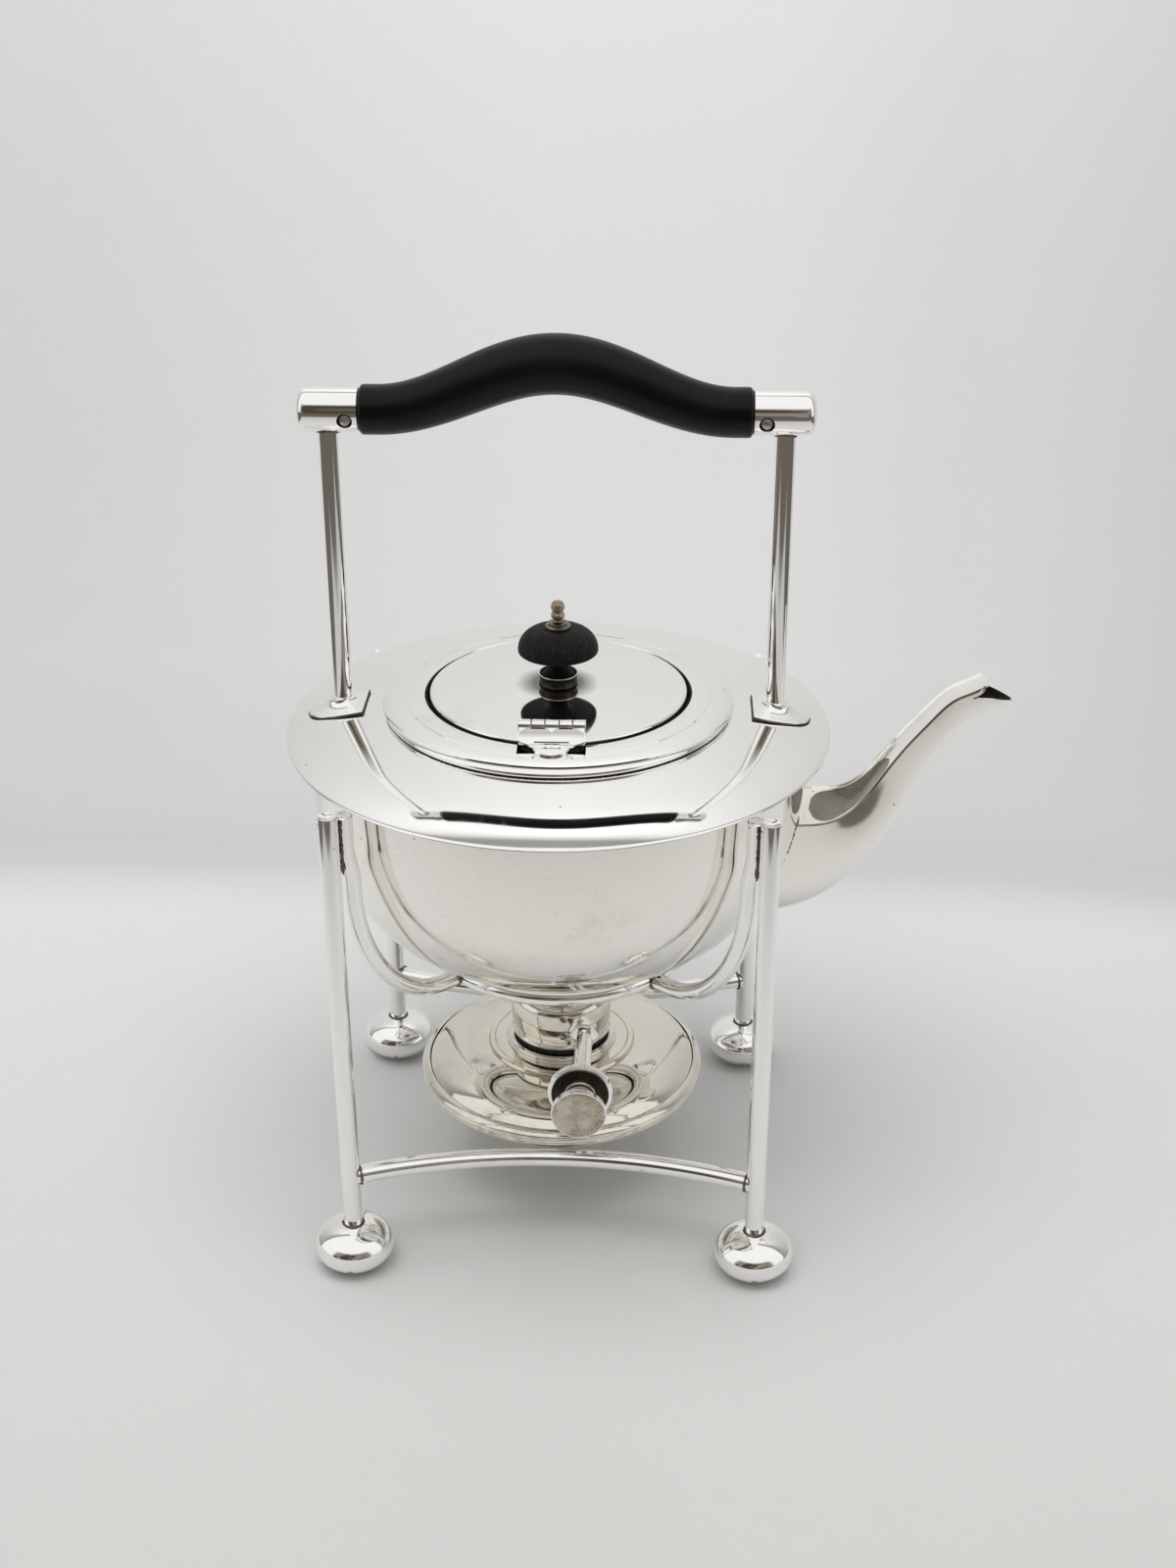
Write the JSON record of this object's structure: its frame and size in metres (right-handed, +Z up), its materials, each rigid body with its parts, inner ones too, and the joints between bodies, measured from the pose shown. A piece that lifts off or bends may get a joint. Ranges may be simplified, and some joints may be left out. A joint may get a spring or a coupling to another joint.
{
  "type": "spirit kettle on stand",
  "caption": "Round metal kettle with hinged lid, swan-neck spout and bail-like fixed handle, on a four-legged ball-footed stand with a spirit burner below.",
  "frame": {"origin": "on the floor, under the middle of the object's bounding box", "axes": "+Z up, +X towards the spout, -Y towards the lid's hinge and the burner's winder; the kettle's centre line stands at x = -29.35 mm"},
  "size_m": [0.2358, 0.1772, 0.3004],
  "materials": {
    "silver_plate": "polished silver plate, finely scratched, a little tarnished in its corners",
    "worn_nickel": "worn and tarnished plate",
    "black_grip": "satin black",
    "ebony": "dull worn black wood",
    "brass": "plain turned brass",
    "cotton_wick": "woven cotton",
    "leather_washer": "dark leather washer",
    "solder": "dull soft solder"
  },
  "bodies": {
    "stand": {"leg_front_left": "silver_plate", "leg_front_right": "silver_plate", "leg_rear_left": "silver_plate", "leg_rear_right": "silver_plate", "foot_front_left": "silver_plate", "foot_front_right": "silver_plate", "foot_rear_left": "silver_plate", "foot_rear_right": "silver_plate", "bracket_front_left": "silver_plate", "bracket_front_right": "silver_plate", "bracket_rear_left": "silver_plate", "bracket_rear_right": "silver_plate", "foot_plugs": "solder", "support_ring": "silver_plate", "stretcher_front": "silver_plate", "stretcher_rear": "silver_plate"},
    "kettle": {"kettle_bowl": "silver_plate", "shoulder": "silver_plate", "lid_collar": "silver_plate", "spout": "silver_plate", "post_plate_left": "silver_plate", "post_plate_right": "silver_plate", "handle_post_left": "silver_plate", "handle_post_right": "silver_plate", "handle_socket_left": "silver_plate", "handle_socket_right": "silver_plate", "socket_pins": "worn_nickel", "handle_grip": "black_grip", "hinge_leaf_fixed": "silver_plate", "hinge_pin": "silver_plate"},
    "lid": {"lid_disc": "silver_plate", "hinge_leaf_lid": "silver_plate", "finial_ferrule": "silver_plate", "knob": "ebony", "finial_screw": "worn_nickel", "finial_nut": "brass"},
    "burner": {"reservoir_pan": "silver_plate", "reservoir_dome": "silver_plate", "neck_collar": "brass"},
    "washer": {"neck_washer": "leather_washer"},
    "burner_head": {"burner_barrel": "silver_plate", "wick_tube": "silver_plate", "spindle_sleeve": "silver_plate"},
    "sleeve_disc": {"sleeve_disc": "silver_plate"},
    "winder": {"spindle": "brass", "star_wheel": "brass", "winder_knob": "worn_nickel"},
    "wick": {"wick": "cotton_wick"}
  },
  "joints": [
    {"name": "kettle_lift", "type": "slide", "parent": "stand", "child": "kettle", "axis": [0, 0, 1], "range_m": [0, 0.12]},
    {"name": "lid_hinge", "type": "hinge", "parent": "kettle", "child": "lid", "pos_m": [-0.02935, -0.0398, 0.1893], "axis": [1, 0, 0], "range_deg": [0, 105]},
    {"name": "burner_lift", "type": "slide", "parent": "stand", "child": "burner", "axis": [0, 0, 1], "range_m": [0, 0.005]},
    {"name": "head_rise", "type": "slide", "parent": "burner", "child": "washer", "axis": [0, 0, 1], "range_m": [0, 0.0024]},
    {"name": "head_turn", "type": "hinge", "parent": "washer", "child": "burner_head", "pos_m": [-0.02935, 0, 0.0622], "axis": [0, 0, 1], "range_deg": [0, 360]},
    {"name": "disc_turn", "type": "hinge", "parent": "burner_head", "child": "sleeve_disc", "pos_m": [-0.02065, -0.052, 0.0622], "axis": [0, 1, 0], "range_deg": [0, 360]},
    {"name": "winder_turn", "type": "hinge", "parent": "burner_head", "child": "winder", "pos_m": [-0.02065, -0.064, 0.0622], "axis": [0, 1, 0], "range_deg": [-40, 75]},
    {"name": "wick_rise", "type": "slide", "parent": "burner_head", "child": "wick", "axis": [0, 0, 1], "range_m": [-0.003, 0.0055]}
  ],
  "couplings": [
    {"joint": "head_rise", "follows": "head_turn", "m_per_rad": 0.00038},
    {"joint": "wick_rise", "follows": "winder_turn", "m_per_rad": 0.0042}
  ]
}
